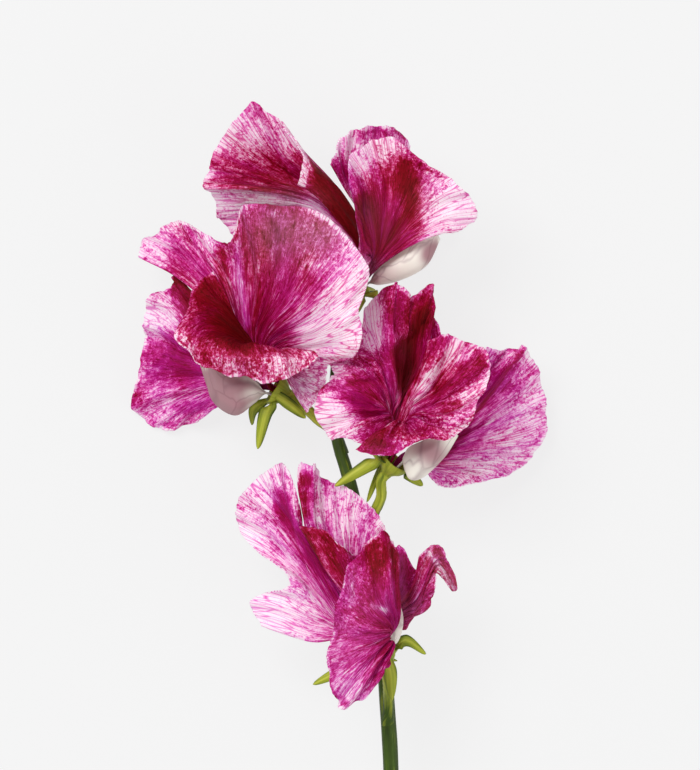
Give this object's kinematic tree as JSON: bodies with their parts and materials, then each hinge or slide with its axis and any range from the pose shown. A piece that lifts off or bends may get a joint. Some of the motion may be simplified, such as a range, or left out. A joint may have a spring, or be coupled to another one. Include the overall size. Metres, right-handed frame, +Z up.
{
  "type": "sweet pea stem",
  "caption": "Cut sweet pea stalk lying down, with frilled, flaked magenta and white blooms: broad standard, two wings, small keel and a green calyx each.",
  "frame": {"origin": "centre of the bounding box's underside, on the surface the stem lies on", "axes": "+Y along the stalk from its cut end to the top bloom, +Z up from the surface, +X to the right of the blooms seen from above"},
  "size_m": [0.0845, 0.2198, 0.0453],
  "materials": {
    "stalk_green": "fresh green stalk, satin, faintly ribbed",
    "calyx_green": "fresh yellow-green sepal, satin",
    "petal_flaked": "soft petal, magenta and crimson flakes on white",
    "petal_pale": "soft petal, cream shaded pink-brown"
  },
  "bodies": {
    "root": {"stem": "stalk_green", "flower_1_calyx": "calyx_green", "flower_1_standard": "petal_flaked", "flower_1_wing_near": "petal_flaked", "flower_1_wing_far": "petal_flaked", "flower_1_keel": "petal_pale", "flower_2_calyx": "calyx_green", "flower_2_standard": "petal_flaked", "flower_2_wing_near": "petal_flaked", "flower_2_wing_far": "petal_flaked", "flower_2_keel": "petal_pale", "flower_3_calyx": "calyx_green", "flower_3_standard": "petal_flaked", "flower_3_wing_near": "petal_flaked", "flower_3_wing_far": "petal_flaked", "flower_3_keel": "petal_pale", "flower_4_calyx": "calyx_green", "flower_4_standard": "petal_flaked", "flower_4_wing_near": "petal_flaked", "flower_4_wing_far": "petal_flaked", "flower_4_keel": "petal_pale"}
  },
  "joints": []
}
